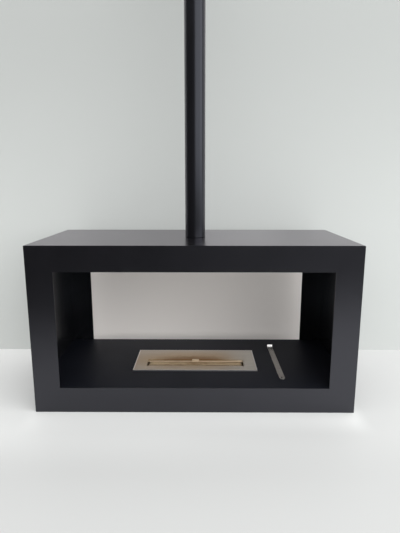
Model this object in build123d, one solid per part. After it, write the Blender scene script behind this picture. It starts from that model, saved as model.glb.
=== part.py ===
from build123d import *
import os
from math import cos, radians, sin, tan

# A see-through bioethanol fireplace: a sheet steel casing, open front and rear, that hangs
# from a ceiling pole, with a stainless burner let into its floor. All sizes are in
# millimetres. The casing stands on z = 0 with its middle over the origin, and its front
# faces -Y.

# Casing
case_width = 945.0
case_height = 500.0
case_depth = 405.0
side_band = 77.0  # front face beside the opening
top_band = 75.0  # front face above the opening
bottom_band = 77.0  # front face below the opening
sheet = 2.0  # casing sheet
edge_share = 0.95  # radius of the long outer edges, as a share of the sheet
face_share = 0.3  # radius of the frames' face edges, as a share of the sheet

# Stiffening under the top sheet, hidden behind the top bands
roof_plate_width = 180.0
roof_plate_thickness = 6.0
roof_rib_height = 36.0
roof_rib_thickness = 5.0
roof_rib_inset = 8.0  # from the plate's edge to the middle of a rib

# Channels that carry the firebox floor
bearer_flange = 25.0
bearer_sheet = 2.0
bearer_gap = 20.0  # from the floor's cut-out to a bearer

# Short welds inside the casing, where its sheets meet
weld_radius = 4.0
weld_length = 14.0
corner_weld_heights = [134.0, 268.0]  # above the firebox floor
floor_weld_inset = 38.5  # from a side sheet
roof_weld_shares = [0.35, 0.85]  # of the way from a side sheet to the roof plate

# Suspension pole and the plug in its foot
pole_diameter = 63.5
pole_wall = 2.0
pole_length = 1000.0
weld_gap = 0.1  # radial, between pieces that are pinned or pressed together
plug_cap = 8.0  # solid metal above the plug's threaded holes
plug_runout = 2.0  # threaded hole beyond the bolt's end

# Bolts of the pole's foot
foot_bolt_circle = 36.0
foot_bolt_count = 4
foot_bolt_diameter = 8.0
foot_bolt_reach = 16.0  # thread inside the plug
foot_bolt_start_angle = 45.0
foot_hole_clearance = 0.5  # radial
washer_diameter = 16.0
washer_thickness = 1.6

# Ceiling plate, spigot and the cross bolt that hangs the pole
ceiling_plate_diameter = 150.0
ceiling_plate_thickness = 6.0
ceiling_hole_circle = 120.0
ceiling_hole_count = 4
ceiling_hole_diameter = 9.0
ceiling_hole_start_angle = 45.0
spigot_wall = 3.0
spigot_length = 80.0
cross_bolt_diameter = 8.0
cross_bolt_drop = 30.0  # below the ceiling plate
cross_bolt_tail = 3.0  # thread beyond the nut
cross_hole_clearance = 0.25  # radial

# Cover cup below the ceiling
cup_margin = 6.5  # from the ceiling plate's rim to the cup's wall
cup_height = 60.0
cup_sheet = 1.5
collar_height = 14.0
collar_wall = 4.0
collar_clearance = 0.4  # radial, to the pole
set_screw_diameter = 5.0
set_screw_gap = 0.1  # from the screw's point to the pole
set_screw_socket = 2.5  # across corners, and as deep

# Burner insert
burner_length = 400.0
burner_width = 168.0
burner_plate_thickness = 3.0
burner_offset = 1.0  # middle of the burner behind the middle of the casing
burner_corner = 2.0
burner_edge = 2.0  # radius of the plate's folded rim
slot_end_margin = 40.0  # from the plate's ends to the slot
slot_front_margin = 33.5
slot_rear_margin = 84.5
slot_corner = 1.0

# Fuel tank under the burner plate
tank_lap = 12.0  # plate beyond the tank, all round
tank_depth = 62.0
tank_sheet = 1.5
tank_corner = 6.0
tank_clearance = 2.0  # to the floor's cut-out

# Damper and its rails
damper_sheet = 1.5
damper_end_lap = 8.0  # damper beyond each end of the slot
damper_lip = 8.5  # seen in the slot when the damper is open
damper_front_lap = 2.5  # past the slot's front edge when closed
damper_rear_lap = 4.5  # behind the slot's rear edge when closed
damper_play = 0.5  # above the damper and beside it
damper_seat_gap = 0.3  # between the damper and its ledges
tab_width = 22.0
tab_rise = 3.5  # above the burner plate
tab_setback = 4.0  # behind the damper's front edge
tab_thickness = 1.5
rail_sheet = 1.5
rail_ledge = 8.0
rail_end_gap = 0.5  # from a rail's end to the tank

# Wool and its basket
wool_end_gap = 5.5  # dark gap between the wool and each end of the slot
wool_drop = 2.0  # below the damper
wool_edge = 3.0
basket_sheet = 1.0
basket_gap = 0.4  # round the wool
basket_front_gap = 6.5  # to the tank's front wall
basket_rear_gap = 19.5  # to the tank's rear wall
basket_rim_drop = 2.5  # basket's rim below the wool's top
basket_holes = 14
basket_hole_diameter = 8.0
basket_hole_height = 22.0  # above the tank's floor

# Loose tool for the damper
tool_length = 264.0
tool_width = 18.0
tool_thickness = 3.0
tool_hook = 12.5  # height of the bent end
tool_lean = 25.0  # degrees, the bent end back from upright
tool_bend = 2.0  # inner radius of the bend
tool_corner = 7.0  # corners of the plain end
tool_hole_diameter = 6.5
tool_hole_inset = 12.0
tool_gap = 60.0  # from the burner plate to the tool
tool_setback = 58.0  # behind the casing's front

# Metric hexagon sizes, as shares of the thread diameter
hex_across_flats = 13.0 / 8.0
hex_head_height = 5.3 / 8.0
hex_nut_height = 6.5 / 8.0

# Dependent sizes
half_width = case_width / 2
half_panel = case_depth / 2 - sheet  # sheets run between the two frames
inside_half = half_width - sheet
open_half = half_width - side_band
open_bottom = bottom_band
open_top = case_height - top_band
edge_radius = sheet * edge_share
face_radius = sheet * face_share
roof_plate_bottom = case_height - sheet - roof_plate_thickness
pole_top = case_height + pole_length
pole_radius = pole_diameter / 2
pole_bore_radius = pole_radius - pole_wall
ceiling_level = pole_top + ceiling_plate_thickness
cross_bolt_z = pole_top - cross_bolt_drop
tank_length = burner_length - 2 * tank_lap
tank_width = burner_width - 2 * tank_lap
tank_bottom = open_bottom - tank_depth
cutout_length = tank_length + 2 * tank_clearance
cutout_width = tank_width + 2 * tank_clearance
slot_length = burner_length - 2 * slot_end_margin
slot_width = burner_width - slot_front_margin - slot_rear_margin
slot_front_y = burner_offset - burner_width / 2 + slot_front_margin
slot_rear_y = slot_front_y + slot_width
damper_top = open_bottom - damper_play
damper_bottom = damper_top - damper_sheet
damper_half = slot_length / 2 + damper_end_lap
damper_front_y = slot_rear_y - damper_lip
damper_travel = slot_width + damper_front_lap - damper_lip
damper_rear_y = slot_rear_y + damper_rear_lap + damper_travel
ledge_top = damper_bottom - damper_seat_gap
wool_top = damper_bottom - wool_drop
wool_length = slot_length - 2 * wool_end_gap
basket_length = wool_length + 2 * (basket_gap + basket_sheet)
basket_width = tank_width - 2 * tank_sheet - basket_front_gap - basket_rear_gap
wool_width = basket_width - 2 * (basket_gap + basket_sheet)
wool_y = burner_offset + (basket_front_gap - basket_rear_gap) / 2
tool_x = burner_length / 2 + tool_gap + tool_width / 2
tool_front_y = -case_depth / 2 + tool_setback


def block(x_low, x_high, y_low, y_high, z_low, z_high):
    """Box between two opposite corners."""
    middle = ((x_low + x_high) / 2, (y_low + y_high) / 2, (z_low + z_high) / 2)
    return Pos(*middle) * Box(x_high - x_low, y_high - y_low, z_high - z_low)


def disc(radius, z_low, z_high, x=0.0, y=0.0):
    """Upright cylinder from z_low to z_high."""
    return Pos(x, y, (z_low + z_high) / 2) * Cylinder(radius, z_high - z_low)


def rounded_block(length, width, corner, z_low, z_high, y=0.0):
    """Upright block with rounded corners, centred on x = 0."""
    return Pos(0, y, z_low) * extrude(RectangleRounded(length, width, corner), z_high - z_low)


def circle_places(diameter, count, start_angle):
    """Points spaced evenly round a circle."""
    places = []
    for number in range(count):
        angle = radians(start_angle + number * 360 / count)
        places.append((diameter / 2 * cos(angle), diameter / 2 * sin(angle)))
    return places


def hexagon(diameter, height):
    """Bolt head or nut blank that rises from z = 0."""
    return extrude(RegularPolygon(diameter * hex_across_flats / 2, 6, major_radius=False), height)


# Casing sheets


def make_front_frame():
    """Sheet ring round the front opening, flush with the casing outside."""
    opening_height = open_top - open_bottom
    outline = Pos(0, case_height / 2) * RectangleRounded(case_width, case_height, edge_radius)
    opening = Pos(0, open_bottom + opening_height / 2) * Rectangle(2 * open_half, opening_height)
    ring = extrude(outline - opening, sheet)
    ring = fillet(ring.faces().sort_by(Axis.Z)[-1].edges(), face_radius)
    return Pos(0, -half_panel, 0) * Rot(90, 0, 0) * ring


def make_outer_top_panel():
    """Top sheet, with the holes of the pole's foot bolts."""
    panel = block(-half_width, half_width, -half_panel, half_panel, case_height - sheet, case_height)
    long_edges = panel.edges().filter_by(Axis.Y).group_by(Axis.Z)[-1]
    return fillet(long_edges, edge_radius) - foot_bolt_holes(case_height - sheet, case_height)


def make_outer_bottom_panel():
    """Bottom sheet that the casing stands on."""
    panel = block(-half_width, half_width, -half_panel, half_panel, 0, sheet)
    return fillet(panel.edges().filter_by(Axis.Y).group_by(Axis.Z)[0], edge_radius)


def make_outer_side_panel(side):
    """Outer side sheet; side is -1 on the left and +1 on the right."""
    walls = sorted((side * half_width, side * inside_half))
    return block(*walls, -half_panel, half_panel, sheet, case_height - sheet)


def make_firebox_floor_panel():
    """Firebox floor from side sheet to side sheet, cut out for the burner's tank."""
    low = open_bottom - sheet
    panel = block(-inside_half, inside_half, -half_panel, half_panel, low, open_bottom)
    cutout = rounded_block(
        cutout_length,
        cutout_width,
        tank_corner + tank_clearance,
        low,
        open_bottom,
        burner_offset,
    )
    return panel - cutout


# Stiffening inside the casing


def make_roof_plate():
    """Thick plate under the top sheet, from the front frame to the rear frame."""
    half_plate = roof_plate_width / 2
    top = case_height - sheet
    plate = block(-half_plate, half_plate, -half_panel, half_panel, roof_plate_bottom, top)
    return plate - foot_bolt_holes(roof_plate_bottom, top)


def make_roof_ribs():
    """Two upright bars under the roof plate, one on each side of the pole."""
    rib_x = roof_plate_width / 2 - roof_rib_inset
    half_rib = roof_rib_thickness / 2
    low = roof_plate_bottom - roof_rib_height
    rib = block(rib_x - half_rib, rib_x + half_rib, -half_panel, half_panel, low, roof_plate_bottom)
    return [rib, mirror(rib, about=Plane.YZ)]


def make_floor_bearers():
    """Two channels from the bottom sheet to the firebox floor, beside the tank."""
    web_x = cutout_length / 2 + bearer_gap
    flange_x = web_x + bearer_flange
    low = sheet
    high = open_bottom - sheet
    channel = block(web_x, flange_x, -half_panel, half_panel, low, high)
    channel -= block(
        web_x + bearer_sheet, flange_x, -half_panel, half_panel, low + bearer_sheet, high - bearer_sheet
    )
    return [channel, mirror(channel, about=Plane.YZ)]


# Welds inside the casing


def corner_weld(height):
    """Short weld up the corner of the right side sheet and the rear frame, from this height."""
    left = inside_half - weld_radius
    front = half_panel - weld_radius
    bead = block(left, inside_half, front, half_panel, 0, weld_length)
    bead &= Pos(inside_half, half_panel, weld_length / 2) * Cylinder(weld_radius, weld_length)
    return Pos(0, 0, height) * bead


def cross_weld(middle, level, side):
    """Short weld along X against the rear frame, above (side 1) or below (side -1) a level."""
    front = half_panel - weld_radius
    heights = sorted((level, level + side * weld_radius))
    bead = block(-weld_length / 2, weld_length / 2, front, half_panel, *heights)
    bead &= Pos(0, half_panel, level) * Rot(0, 90, 0) * Cylinder(weld_radius, weld_length)
    return Pos(middle, 0, 0) * bead


def make_casing_welds():
    """The welds of the right rear corner, repeated at the other three corners."""
    beads = [corner_weld(open_bottom)]
    for height in corner_weld_heights:
        beads.append(corner_weld(open_bottom + height - weld_length / 2))
    beads.append(cross_weld(inside_half - floor_weld_inset, open_bottom, 1))
    for share in roof_weld_shares:
        middle = inside_half - share * (inside_half - roof_plate_width / 2)
        beads.append(cross_weld(middle, case_height - sheet, -1))
    beads += [mirror(bead, about=Plane.YZ) for bead in beads]
    beads += [mirror(bead, about=Plane.XZ) for bead in beads]
    return beads


# Pole


def foot_bolt_holes(z_low, z_high):
    """Clearance holes for the pole's foot bolts, as cutting shapes."""
    radius = foot_bolt_diameter / 2 + foot_hole_clearance
    places = circle_places(foot_bolt_circle, foot_bolt_count, foot_bolt_start_angle)
    return [disc(radius, z_low, z_high, x, y) for x, y in places]


def cross_bolt_hole():
    """Cutting shape for the cross bolt, along X."""
    hole = Cylinder(cross_bolt_diameter / 2 + cross_hole_clearance, 2 * pole_diameter)
    return Pos(0, 0, cross_bolt_z) * Rot(0, 90, 0) * hole


def make_pole_tube():
    """Round tube that stands on the top sheet."""
    tube = disc(pole_radius, case_height, pole_top) - disc(pole_bore_radius, case_height, pole_top)
    return tube - cross_bolt_hole()


def make_pole_end_plug():
    """Thick plug welded into the pole's foot, with blind threaded holes from below."""
    hole_top = case_height + foot_bolt_reach + plug_runout
    plug = disc(pole_bore_radius - weld_gap, case_height, hole_top + plug_cap)
    for x, y in circle_places(foot_bolt_circle, foot_bolt_count, foot_bolt_start_angle):
        plug -= disc(foot_bolt_diameter / 2 + weld_gap / 2, case_height, hole_top, x, y)
    return plug


def make_pole_washers():
    """Washers under the heads of the foot bolts."""
    top = roof_plate_bottom
    bottom = top - washer_thickness
    bore = foot_bolt_diameter / 2 + foot_hole_clearance / 2
    washer = disc(washer_diameter / 2, bottom, top) - disc(bore, bottom, top)
    places = circle_places(foot_bolt_circle, foot_bolt_count, foot_bolt_start_angle)
    return [Pos(x, y, 0) * washer for x, y in places]


def make_pole_bolts():
    """Hexagon bolts from inside the casing up into the pole's plug."""
    head_top = roof_plate_bottom - washer_thickness
    head_height = foot_bolt_diameter * hex_head_height
    head = Pos(0, 0, head_top - head_height) * hexagon(foot_bolt_diameter, head_height)
    bolt = head + disc(foot_bolt_diameter / 2, head_top, case_height + foot_bolt_reach)
    places = circle_places(foot_bolt_circle, foot_bolt_count, foot_bolt_start_angle)
    return [Pos(x, y, 0) * bolt for x, y in places]


# Ceiling end of the pole


def make_ceiling_plate():
    """Round plate that is screwed to the ceiling."""
    plate = disc(ceiling_plate_diameter / 2, pole_top, ceiling_level)
    for x, y in circle_places(ceiling_hole_circle, ceiling_hole_count, ceiling_hole_start_angle):
        plate -= disc(ceiling_hole_diameter / 2, pole_top, ceiling_level, x, y)
    return plate


def make_ceiling_spigot():
    """Tube stub welded under the ceiling plate, inside the pole's head."""
    radius = pole_bore_radius - weld_gap
    bottom = pole_top - spigot_length
    stub = disc(radius, bottom, pole_top) - disc(radius - spigot_wall, bottom, pole_top)
    return stub - cross_bolt_hole()


def make_pole_cross_bolt():
    """Hexagon bolt through the pole and its spigot."""
    nut_height = cross_bolt_diameter * hex_nut_height
    reach = pole_diameter + nut_height + cross_bolt_tail
    bolt = hexagon(cross_bolt_diameter, cross_bolt_diameter * hex_head_height)
    bolt += disc(cross_bolt_diameter / 2, -reach, 0)
    return Pos(pole_radius, 0, cross_bolt_z) * Rot(0, 90, 0) * bolt


def make_pole_cross_nut():
    """Hexagon nut on the cross bolt."""
    nut_height = cross_bolt_diameter * hex_nut_height
    nut = hexagon(cross_bolt_diameter, nut_height)
    nut -= disc(cross_bolt_diameter / 2 + weld_gap / 2, 0, nut_height)
    return Pos(-pole_radius, 0, cross_bolt_z) * Rot(0, -90, 0) * nut


def make_ceiling_cover():
    """Cup that hides the ceiling plate, with a collar round the pole."""
    inner_radius = ceiling_plate_diameter / 2 + cup_margin
    cup_bottom = ceiling_level - cup_height
    hole_radius = pole_radius + collar_clearance
    collar_bottom = cup_bottom - collar_height
    cup = disc(inner_radius + cup_sheet, cup_bottom, ceiling_level)
    cup = fillet(cup.edges().group_by(Axis.Z)[0], cup_sheet)
    cup -= disc(inner_radius, cup_bottom + cup_sheet, ceiling_level)
    cup += disc(hole_radius + collar_wall, collar_bottom, cup_bottom + cup_sheet)
    cup -= disc(hole_radius, collar_bottom, cup_bottom + cup_sheet)
    return cup - set_screw_shape(weld_gap / 2)


def set_screw_shape(growth):
    """Radial set screw at the back of the collar, or its hole when grown a little."""
    start = pole_radius + set_screw_gap
    length = collar_clearance + collar_wall - set_screw_gap
    z = ceiling_level - cup_height - collar_height / 2
    screw = Cylinder(set_screw_diameter / 2 + growth, length)
    return Pos(0, start + length / 2, z) * Rot(-90, 0, 0) * screw


def make_cover_set_screw():
    """Set screw that holds the cover cup up on the pole."""
    screw = set_screw_shape(0)
    rear_face = screw.faces().sort_by(Axis.Y)[-1]
    socket = Plane(rear_face) * RegularPolygon(set_screw_socket / 2, 6)
    return screw - extrude(socket, -set_screw_socket)


# Burner insert


def make_burner_top_plate():
    """Plate that lies on the firebox floor, with the flame slot towards its front."""
    top = open_bottom + burner_plate_thickness
    plate = rounded_block(burner_length, burner_width, burner_corner, open_bottom, top, burner_offset)
    plate = fillet(plate.faces().sort_by(Axis.Z)[-1].edges(), burner_edge)
    slot_y = (slot_front_y + slot_rear_y) / 2
    return plate - rounded_block(slot_length, slot_width, slot_corner, open_bottom, top, slot_y)


def make_fuel_tank():
    """Open tank welded under the burner plate."""
    outside = rounded_block(
        tank_length, tank_width, tank_corner, tank_bottom, open_bottom, burner_offset
    )
    inside = rounded_block(
        tank_length - 2 * tank_sheet,
        tank_width - 2 * tank_sheet,
        tank_corner - tank_sheet,
        tank_bottom + tank_sheet,
        open_bottom,
        burner_offset,
    )
    return outside - inside


def make_damper_guides():
    """Two angle rails under the burner plate that carry the damper's ends."""
    leg_inner = damper_half + damper_play
    leg_outer = leg_inner + rail_sheet
    reach = tank_width / 2 - tank_sheet - rail_end_gap
    front = burner_offset - reach
    rear = burner_offset + reach
    rail = block(leg_inner, leg_outer, front, rear, ledge_top - rail_sheet, open_bottom)
    rail += block(leg_inner - rail_ledge, leg_inner, front, rear, ledge_top - rail_sheet, ledge_top)
    return [rail, mirror(rail, about=Plane.YZ)]


def make_damper_plate():
    """Sliding plate, drawn open, with a tab standing up through the slot."""
    plate = block(
        -damper_half, damper_half, damper_front_y, damper_rear_y, damper_bottom, damper_top
    )
    tab_front = damper_front_y + tab_setback
    tab_top = open_bottom + burner_plate_thickness + tab_rise
    half_tab = tab_width / 2
    tab = block(-half_tab, half_tab, tab_front, tab_front + tab_thickness, damper_top, tab_top)
    tab = fillet(tab.edges().filter_by(Axis.Y).group_by(Axis.Z)[-1], tab_rise / 2)
    return plate + tab


def make_wool_basket():
    """Open tray that holds the wool, pierced along its long sides."""
    half_length = basket_length / 2
    half_width = basket_width / 2
    floor = tank_bottom + tank_sheet
    rim = wool_top - basket_rim_drop
    tray = block(-half_length, half_length, wool_y - half_width, wool_y + half_width, floor, rim)
    tray -= block(
        -half_length + basket_sheet,
        half_length - basket_sheet,
        wool_y - half_width + basket_sheet,
        wool_y + half_width - basket_sheet,
        floor + basket_sheet,
        rim,
    )
    pitch = wool_length / basket_holes
    holes = []
    for number in range(basket_holes):
        x = (number + 0.5) * pitch - wool_length / 2
        hole = Rot(90, 0, 0) * Cylinder(basket_hole_diameter / 2, 2 * basket_width)
        holes.append(Pos(x, wool_y, floor + basket_hole_height) * hole)
    return tray - holes


def make_ceramic_wool():
    """Block of fuel-soaking wool in the basket."""
    bottom = tank_bottom + tank_sheet + basket_sheet
    half_length = wool_length / 2
    half_width = wool_width / 2
    wool = block(-half_length, half_length, wool_y - half_width, wool_y + half_width, bottom, wool_top)
    return fillet(wool.edges().group_by(Axis.Z)[-1], wool_edge)


# Loose tool


def make_damper_tool():
    """Flat bar with one end bent up and a hanging hole in the other."""
    half_thick = tool_thickness / 2
    lean = radians(tool_lean)
    rise = tool_hook - half_thick - half_thick * sin(lean)  # middle of the hook's tip above the bar's
    knee = tool_length - half_thick * cos(lean) - rise * tan(lean)
    middle_line = FilletPolyline(
        (0, half_thick),
        (knee, half_thick),
        (knee + rise * tan(lean), half_thick + rise),
        radius=tool_bend + half_thick,
    )
    side = trace(middle_line, tool_thickness)
    bar = extrude(Plane.YZ * side, tool_width / 2, both=True)
    bar = Pos(tool_x, tool_front_y, open_bottom) * bar
    near_edges = bar.edges().filter_by(Axis.Z).group_by(Axis.Y)[0]
    bar = fillet(near_edges, tool_corner)
    hole_y = tool_front_y + tool_hole_inset
    hole_top = open_bottom + tool_thickness
    return bar - disc(tool_hole_diameter / 2, open_bottom, hole_top, tool_x, hole_y)


front_frame = make_front_frame()

parts = {
    "front_frame": front_frame,
    "rear_frame": mirror(front_frame, about=Plane.XZ),
    "outer_top_panel": make_outer_top_panel(),
    "outer_bottom_panel": make_outer_bottom_panel(),
    "outer_left_panel": make_outer_side_panel(-1),
    "outer_right_panel": make_outer_side_panel(1),
    "firebox_floor_panel": make_firebox_floor_panel(),
    "roof_plate": make_roof_plate(),
    "roof_ribs": make_roof_ribs(),
    "floor_bearers": make_floor_bearers(),
    "casing_welds": make_casing_welds(),
    "pole_tube": make_pole_tube(),
    "pole_end_plug": make_pole_end_plug(),
    "pole_washers": make_pole_washers(),
    "pole_bolts": make_pole_bolts(),
    "ceiling_plate": make_ceiling_plate(),
    "ceiling_spigot": make_ceiling_spigot(),
    "pole_cross_bolt": make_pole_cross_bolt(),
    "pole_cross_nut": make_pole_cross_nut(),
    "ceiling_cover": make_ceiling_cover(),
    "cover_set_screw": make_cover_set_screw(),
    "burner_top_plate": make_burner_top_plate(),
    "fuel_tank": make_fuel_tank(),
    "damper_guides": make_damper_guides(),
    "damper_plate": make_damper_plate(),
    "wool_basket": make_wool_basket(),
    "ceramic_wool": make_ceramic_wool(),
    "damper_tool": make_damper_tool(),
}

os.makedirs("parts", exist_ok=True)
for name, shape in parts.items():
    solids = shape if isinstance(shape, list) else [shape]
    export_step(Compound(children=solids), f"parts/{name}.step")

print(f"damper travel {damper_travel:.1f} mm, ceiling level {ceiling_level:.1f} mm")
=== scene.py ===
"""Looks of a hanging bioethanol fireplace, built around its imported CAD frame."""

from math import cos, pi, radians, sin

import bmesh
import bpy
from bmesh.types import BMEdge, BMFace, BMVert
from bpy.props import FloatProperty, FloatVectorProperty, PointerProperty
from bpy.types import Operator, Panel, PropertyGroup
from mathutils import Matrix, Vector, noise


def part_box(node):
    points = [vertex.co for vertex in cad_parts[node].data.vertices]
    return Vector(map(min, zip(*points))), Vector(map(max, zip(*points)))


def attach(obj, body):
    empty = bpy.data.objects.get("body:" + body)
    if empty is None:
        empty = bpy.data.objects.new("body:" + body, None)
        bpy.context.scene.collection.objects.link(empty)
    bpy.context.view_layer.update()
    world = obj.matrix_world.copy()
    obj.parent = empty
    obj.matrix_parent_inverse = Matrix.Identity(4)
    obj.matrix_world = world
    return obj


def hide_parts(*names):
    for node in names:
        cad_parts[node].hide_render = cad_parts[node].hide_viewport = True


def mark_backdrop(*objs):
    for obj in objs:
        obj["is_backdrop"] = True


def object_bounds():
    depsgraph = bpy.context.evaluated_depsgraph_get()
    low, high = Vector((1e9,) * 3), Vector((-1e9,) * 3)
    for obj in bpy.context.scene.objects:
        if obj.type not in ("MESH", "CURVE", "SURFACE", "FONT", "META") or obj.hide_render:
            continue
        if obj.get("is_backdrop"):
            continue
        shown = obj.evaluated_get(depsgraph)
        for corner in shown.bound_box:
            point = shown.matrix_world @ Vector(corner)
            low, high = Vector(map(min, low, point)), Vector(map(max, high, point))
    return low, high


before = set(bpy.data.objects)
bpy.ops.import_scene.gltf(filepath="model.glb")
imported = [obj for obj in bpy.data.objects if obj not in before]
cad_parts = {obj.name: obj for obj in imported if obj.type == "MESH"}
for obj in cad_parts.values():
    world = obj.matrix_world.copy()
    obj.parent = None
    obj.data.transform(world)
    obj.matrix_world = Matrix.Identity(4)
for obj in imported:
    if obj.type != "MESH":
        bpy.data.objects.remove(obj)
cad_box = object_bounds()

bl_info = {
    "name": "Hanging bioethanol fireplace",
    "version": (1, 0, 0),
    "blender": (4, 5, 0),
    "location": "3D View > Sidebar > Fireplace",
    "description": "Builds the casing, pole, burner and loose tool of a bioethanol fireplace",
    "category": "Add Mesh",
}

SHARP_ANGLE = radians(40)  # edges steeper than this stay sharp
CREASE_ANGLE = radians(60)  # edges steeper than this can be rounded
SAME_PLACE = 0.00001  # lengths that differ by less count as the same
MERGED = 0.000001  # vertices closer than this become one
CUT_THROUGH = 0.0000001  # vertices closer than this to a cutting plane lie on it
POLE_STEPS = 128  # steps round the pole and the ceiling cover
SMALL_STEPS = 24  # steps round a weld bead and the tool's hole
RIPPLE_RINGS = 4  # rings of a weld bead from one ripple to the next

WOOL_GRID = (0.0025, 0.0025, 0.0045)  # the wool's mesh faces, along each axis
LUMPS_A_METRE = 70.0
LUMP_DEPTH = 0.0012
TUFTS_A_METRE = 260.0
TUFT_DEPTH = 0.0005

LINES_ALONG = 9.0  # how many grinding lines follow each other in a metre
LINES_ACROSS = 1100.0  # how many lie side by side in a metre
ABOVE_ALL = 9.0  # a height above every piece
HOTTEST = (-0.008, -0.004)  # from the middle of the slot's rear edge to the brownest place
HEAT_REACH = (0.230, 0.070, 0.05)  # how far the browning spreads from there, along each axis
COAT_SHEEN = (0.965, 1.04, 1.21)  # tint of what the satin coats mirror
HEARTH_SHEEN = (0.88, 0.92, 1.16)  # tint of what the firebox floor mirrors
CLEAR_LAYER = (0.985, 0.875, 0.965)  # tint of the clear layer on the satin coats

WINDOW = (0.68, -0.60, 0.42)  # the side that most of the daylight comes from
BACKDROP_REACH = 6.0  # from the middle of the floor and the wall to their edges
LAMP_PLACE = (2.73, -2.93, 2.6)
LAMP_AIM = (0.0, 0.0, 2.5)
LAMP_SIZE = (7.0, 4.0)  # width and height
LAMP_COLOUR = (0.95, 0.98, 1.0)
CAMERA_PLACE = (0.02384, -1.3820, 0.6721)
CAMERA_TURN = (radians(78.951), 0.0, radians(0.36))


# What a user would change


def length(name, description, default):
    """A size in metres."""
    return FloatProperty(
        name=name, description=description, default=default, min=0.0, unit="LENGTH", subtype="DISTANCE"
    )


def colour(name, description, default):
    """A surface colour, as linear red, green and blue."""
    return FloatVectorProperty(
        name=name, description=description, default=default, size=3, min=0.0, max=1.0, subtype="COLOR"
    )


def share(name, description, default, most=1.0):
    """A number from 0 up to a stated most."""
    return FloatProperty(name=name, description=description, default=default, min=0.0, max=most)


class FireplaceCasingSizes(PropertyGroup):
    """Sizes of the sheet steel casing and its pole."""

    side_band: length("Side band", "Front face beside the opening", 0.077)
    top_band: length("Top band", "Front face above the opening", 0.075)
    bottom_band: length("Bottom band", "Front face below the opening", 0.077)
    sheet: length("Sheet", "Thickness of the casing's sheets", 0.002)
    edge_radius: length("Edge radius", "Radius of the casing's long edges", 0.0019)
    face_radius: length("Face radius", "Radius of the frames' face edges", 0.0006)
    pole_wall: length("Pole wall", "Wall thickness of the pole", 0.002)
    pole_edge: length("Pole edge", "Radius of the cup's and the pole's upper edges", 0.0004)
    pole_foot: length("Pole foot", "Radius of the pole's lower outer edge", 0.0014)
    cup_sheet: length("Cup sheet", "Wall thickness of the ceiling cover", 0.0015)
    cup_bend: length("Cup bend", "Outer radius of the ceiling cover's lower edge", 0.0015)
    cup_collar: length("Cup collar", "Height of the ceiling cover's collar", 0.014)
    collar_wall: length("Collar wall", "Wall thickness of the collar", 0.004)
    collar_clearance: length("Collar clearance", "Gap between the collar and the pole", 0.0004)
    weld_ripple: length("Weld ripple", "From one ripple of a weld to the next", 0.0016)


class FireplaceBurnerSizes(PropertyGroup):
    """Sizes of the burner insert and the damper tool."""

    plate_corner: length("Plate corner", "Corner radius of the burner plate", 0.002)
    plate_edge: length("Plate edge", "Radius of the burner plate's folded rim", 0.002)
    slot_end_margin: length("Slot end margin", "From the plate's ends to the slot", 0.040)
    slot_front_margin: length("Slot front margin", "From the plate's front edge to the slot", 0.0335)
    slot_rear_margin: length("Slot rear margin", "From the plate's rear edge to the slot", 0.0845)
    slot_corner: length("Slot corner", "Corner radius of the slot", 0.001)
    tank_corner: length("Tank corner", "Radius of the tank's upright edges", 0.006)
    tank_fold: length("Tank fold", "Radius of the tank's bottom edges", 0.0015)
    tank_sheet: length("Tank sheet", "Thickness of the tank's sheet", 0.0015)
    tank_clearance: length("Tank clearance", "Gap from the tank to the floor's cut-out", 0.002)
    damper_sheet: length("Damper sheet", "Thickness of the damper", 0.0015)
    tab_width: length("Tab width", "Width of the damper's tab", 0.022)
    tab_setback: length("Tab setback", "From the damper's front edge to its tab", 0.004)
    tab_corner: length("Tab corner", "Radius of the tab's upper corners", 0.00175)
    damper_edge: length("Damper edge", "Width of the damper's deburred edges", 0.0002)
    wool_edge: length("Wool edge", "Radius of the wool's edges", 0.003)
    tool_thickness: length("Tool thickness", "Thickness of the damper tool", 0.003)
    tool_bend: length("Tool bend", "Inner radius of the tool's bend", 0.002)
    tool_lean: FloatProperty(
        name="Tool lean", description="How far the tool's bent end leans back from upright",
        default=radians(25), subtype="ANGLE",
    )
    tool_corner: length("Tool corner", "Corner radius of the tool's plain end", 0.007)
    tool_hole: length("Tool hole", "Diameter of the tool's hanging hole", 0.0065)
    tool_hole_inset: length("Tool hole inset", "From the tool's plain end to its hole", 0.012)
    tool_edge: length("Tool edge", "Radius of the tool's edges", 0.0003)


class FireplaceFinishes(PropertyGroup):
    """Colours and roughness of the finishes."""

    casing_coat: colour("Casing coat", "Black powder coat of the casing", (0.0055, 0.0056, 0.0064))
    hearth_coat: colour("Hearth coat", "Black coat of the firebox floor", (0.0079, 0.0088, 0.0134))
    pole_coat: colour("Pole coat", "Black powder coat of the pole", (0.0055, 0.0056, 0.0066))
    coat_roughness: share("Coat roughness", "Roughness of the black powder coat", 0.255)
    cup_roughness: share("Cup roughness", "Roughness of the coat on the ceiling cover", 0.42)
    hearth_roughness: share("Hearth roughness", "Roughness of the coat on the firebox floor", 0.52)
    steel: colour("Steel", "Plain brushed stainless steel", (0.72, 0.63, 0.53))
    # painted light: the burner plate's right end is painted towards this lighter colour
    lit_end_steel: colour("Wiped steel", "Steel wiped clean at the burner's right end", (0.86, 0.83, 0.77))
    straw_tint: colour("Straw tint", "Light heat tint on the steel", (0.67, 0.51, 0.34))
    brown_tint: colour("Brown tint", "Strong heat tint beside the slot", (0.38, 0.22, 0.10))
    inox: colour("Inox", "Stainless steel of the damper and the tank", (0.78, 0.62, 0.44))
    tool_steel: colour("Tool steel", "Brushed steel of the damper tool", (0.41, 0.395, 0.38))
    zinc: colour("Zinc", "Zinc plating of the fasteners", (0.60, 0.61, 0.62))
    primer: colour("Primer", "Grey primer on the hidden steel", (0.12, 0.12, 0.125))
    wool: colour("Wool", "Clean ceramic wool", (0.55, 0.415, 0.255))
    singed_wool: colour("Singed wool", "Ceramic wool browned by the flame", (0.28, 0.17, 0.08))


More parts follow.
